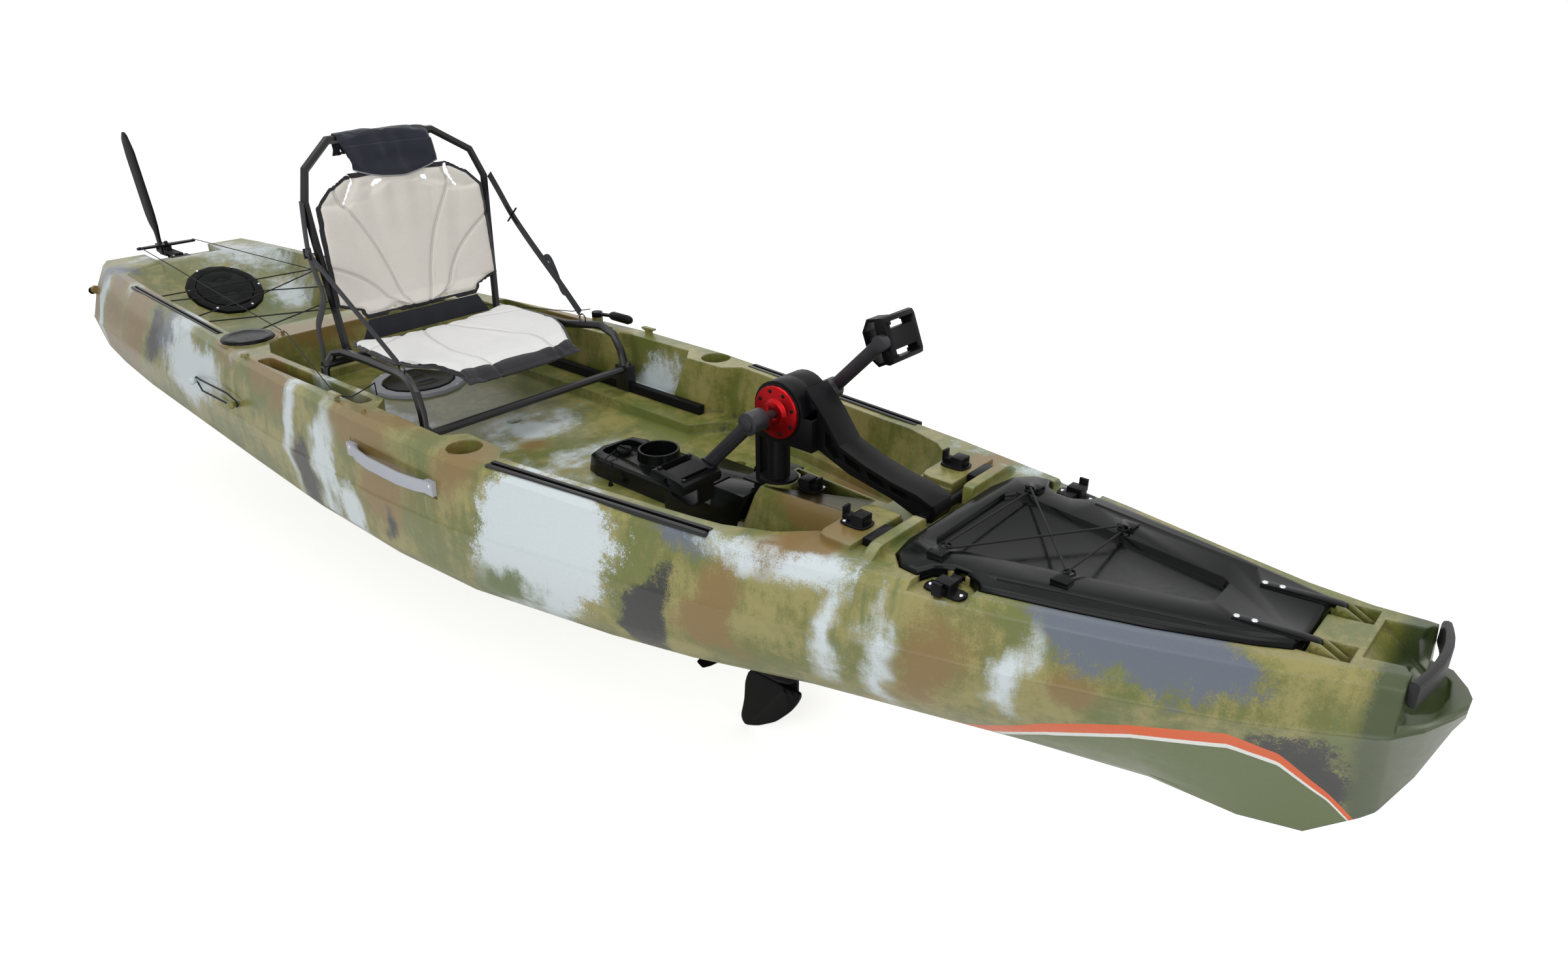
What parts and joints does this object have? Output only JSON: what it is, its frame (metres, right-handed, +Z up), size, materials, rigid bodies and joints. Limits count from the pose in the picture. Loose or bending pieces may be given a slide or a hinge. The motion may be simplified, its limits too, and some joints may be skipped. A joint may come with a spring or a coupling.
{
  "type": "pedal kayak",
  "caption": "Sit-on-top kayak with a hollow moulded hull, framed seat, pedal drive with a propeller, bow hatch lid, tank well and a flip-up rudder.",
  "frame": {"origin": "hull bottom at the lowest line, on the centre line, amidships of the hull", "axes": "+X to the bow, +Y to port, +Z up"},
  "size_m": [4.469, 0.9586, 1.2869],
  "materials": {
    "hull_plastic": "moulded satin polyethylene with soft sprayed patches",
    "gloss_black": "glossy moulded plastic",
    "grey_plastic": "smooth moulded plastic",
    "black_plastic": "satin moulded plastic",
    "anodised_black": "satin anodised or powder coated",
    "anodised_red": "red anodised",
    "steel": "ground",
    "padded_grip": "padded, sewn",
    "black_rubber": "matt cord and rubber",
    "seat_fabric": "woven pad with sewn channels",
    "head_fabric": "woven pad",
    "webbing": "woven webbing"
  },
  "bodies": {
    "hull_body": {"hull": "hull_plastic", "stern_hatch_ring": "black_plastic", "seat_hatch_ring": "grey_plastic", "deck_plate": "black_plastic", "fore_gear_rail_port": "anodised_black", "fore_gear_rail_starboard": "anodised_black", "aft_gear_rail_port": "anodised_black", "aft_gear_rail_starboard": "anodised_black", "seat_rail_port": "anodised_black", "seat_rail_starboard": "anodised_black", "side_grip_port": "grey_plastic", "side_grip_starboard": "grey_plastic", "bow_handle": "padded_grip", "shoulder_latch_port": "black_plastic", "shoulder_latch_starboard": "black_plastic", "column_latch": "black_plastic", "lid_latch_port": "black_plastic", "lid_latch_starboard": "black_plastic", "pod": "gloss_black", "pod_plug": "black_rubber", "rudder_bracket": "black_plastic", "steering_line_starboard": "black_rubber", "steering_line_port": "black_rubber", "tank_cord": "black_rubber", "paddle_loop_port": "black_rubber", "paddle_loop_starboard": "black_rubber"},
    "stern_lid_body": {"stern_hatch_lid": "black_plastic"},
    "seat_lid_body": {"seat_hatch_lid": "black_plastic"},
    "bow_lid_body": {"bow_lid": "gloss_black", "lid_cord": "black_rubber"},
    "shoulder_bolt_port_body": {"shoulder_bolt_port": "black_plastic"},
    "shoulder_bolt_starboard_body": {"shoulder_bolt_starboard": "black_plastic"},
    "column_bolt_body": {"column_bolt": "black_plastic"},
    "lid_bolt_port_body": {"lid_bolt_port": "black_plastic"},
    "lid_bolt_starboard_body": {"lid_bolt_starboard": "black_plastic"},
    "drive_body": {"drive_housing_port": "black_plastic", "drive_housing_starboard": "black_plastic", "drive_flange_port": "anodised_red", "drive_flange_starboard": "anodised_red", "drive_column": "anodised_black", "drive_leg": "anodised_black", "drive_fin": "black_plastic", "drive_arm": "black_plastic"},
    "crank_body": {"crank_axle": "anodised_black", "crank_port": "anodised_black"},
    "pedal_starboard_body": {"pedal_starboard": "black_plastic"},
    "pedal_port_body": {"pedal_port": "black_plastic"},
    "layshaft_body": {"layshaft": "steel"},
    "drive_shaft_body": {"drive_shaft": "steel"},
    "propeller_body": {"propeller": "black_plastic"},
    "rudder_body": {"rudder_yoke": "black_plastic"},
    "rudder_blade_body": {"rudder_blade": "black_plastic"},
    "lever_body": {"steering_lever": "black_plastic"},
    "seat_body": {"seat_frame": "anodised_black", "seat_pad": "seat_fabric"},
    "backrest_body": {"backrest_frame": "anodised_black", "back_pad": "seat_fabric", "head_pad": "head_fabric", "seat_strap_port": "webbing", "seat_strap_starboard": "webbing"}
  },
  "joints": [
    {"name": "bow_lid_hinge", "type": "hinge", "parent": "hull_body", "child": "bow_lid_body", "pos_m": [1.912, 0, 0.443], "axis": [0, 1, 0], "range_deg": [0, 95]},
    {"name": "stern_lid_turn", "type": "hinge", "parent": "hull_body", "child": "stern_lid_body", "pos_m": [-1.75, 0, 0.30025], "axis": [0.4924, 0, 0.8704], "range_deg": [0, 90]},
    {"name": "seat_lid_turn", "type": "hinge", "parent": "hull_body", "child": "seat_lid_body", "pos_m": [-0.53, 0, 0.245], "axis": [0, 0, 1], "range_deg": [0, 90]},
    {"name": "shoulder_bolt_port_slide", "type": "slide", "parent": "hull_body", "child": "shoulder_bolt_port_body", "axis": [1, 0, 0], "range_m": [0, 0.016]},
    {"name": "shoulder_bolt_starboard_slide", "type": "slide", "parent": "hull_body", "child": "shoulder_bolt_starboard_body", "axis": [1, 0, 0], "range_m": [0, 0.016]},
    {"name": "column_bolt_slide", "type": "slide", "parent": "hull_body", "child": "column_bolt_body", "axis": [-1, 0, 0], "range_m": [0, 0.012]},
    {"name": "lid_bolt_port_slide", "type": "slide", "parent": "hull_body", "child": "lid_bolt_port_body", "axis": [0, -1, 0], "range_m": [0, 0.011]},
    {"name": "lid_bolt_starboard_slide", "type": "slide", "parent": "hull_body", "child": "lid_bolt_starboard_body", "axis": [0, 1, 0], "range_m": [0, 0.011]},
    {"name": "drive_lift", "type": "slide", "parent": "hull_body", "child": "drive_body", "axis": [0, 0, 1], "range_m": [0, 0.055]},
    {"name": "crank_spin", "type": "hinge", "parent": "drive_body", "child": "crank_body", "pos_m": [0.886, 0, 0.529], "axis": [0, 1, 0], "continuous": true},
    {"name": "pedal_starboard_spin", "type": "hinge", "parent": "crank_body", "child": "pedal_starboard_body", "pos_m": [0.76826, -0.127, 0.40777], "axis": [0, 1, 0], "continuous": true},
    {"name": "pedal_port_spin", "type": "hinge", "parent": "crank_body", "child": "pedal_port_body", "pos_m": [1.00374, 0.127, 0.65023], "axis": [0, 1, 0], "continuous": true},
    {"name": "layshaft_spin", "type": "hinge", "parent": "drive_body", "child": "layshaft_body", "pos_m": [0.848, 0, 0.5106], "axis": [0, 1, 0], "continuous": true},
    {"name": "drive_shaft_spin", "type": "hinge", "parent": "drive_body", "child": "drive_shaft_body", "pos_m": [0.848, 0, 0.2], "axis": [0, 0, 1], "continuous": true},
    {"name": "propeller_spin", "type": "hinge", "parent": "drive_body", "child": "propeller_body", "pos_m": [0.7, 0, -0.125], "axis": [1, 0, 0], "continuous": true},
    {"name": "rudder_yaw", "type": "hinge", "parent": "hull_body", "child": "rudder_body", "pos_m": [-2.192, 0, 0.379], "axis": [0, 0, 1], "range_deg": [-35, 35], "deforming": ["steering_line_starboard", "steering_line_port"]},
    {"name": "rudder_flip", "type": "hinge", "parent": "rudder_body", "child": "rudder_blade_body", "pos_m": [-2.25, 0, 0.379], "axis": [0, -1, 0], "range_deg": [0, 165]},
    {"name": "lever_turn", "type": "hinge", "parent": "hull_body", "child": "lever_body", "pos_m": [-0.212, 0.416, 0.421], "axis": [0, 0, 1], "range_deg": [-25, 25]},
    {"name": "seat_slide", "type": "slide", "parent": "hull_body", "child": "seat_body", "axis": [1, 0, 0], "range_m": [-0.06, 0.17]},
    {"name": "backrest_fold", "type": "hinge", "parent": "seat_body", "child": "backrest_body", "pos_m": [-0.449, 0, 0.419], "axis": [0, 1, 0], "range_deg": [-8, 30], "deforming": ["seat_strap_port", "seat_strap_starboard"]}
  ],
  "couplings": [
    {"joint": "layshaft_spin", "follows": "crank_spin", "ratio": -2},
    {"joint": "drive_shaft_spin", "follows": "crank_spin", "ratio": -4},
    {"joint": "propeller_spin", "follows": "crank_spin", "ratio": -8},
    {"joint": "lever_turn", "follows": "rudder_yaw", "ratio": 0.7}
  ]
}
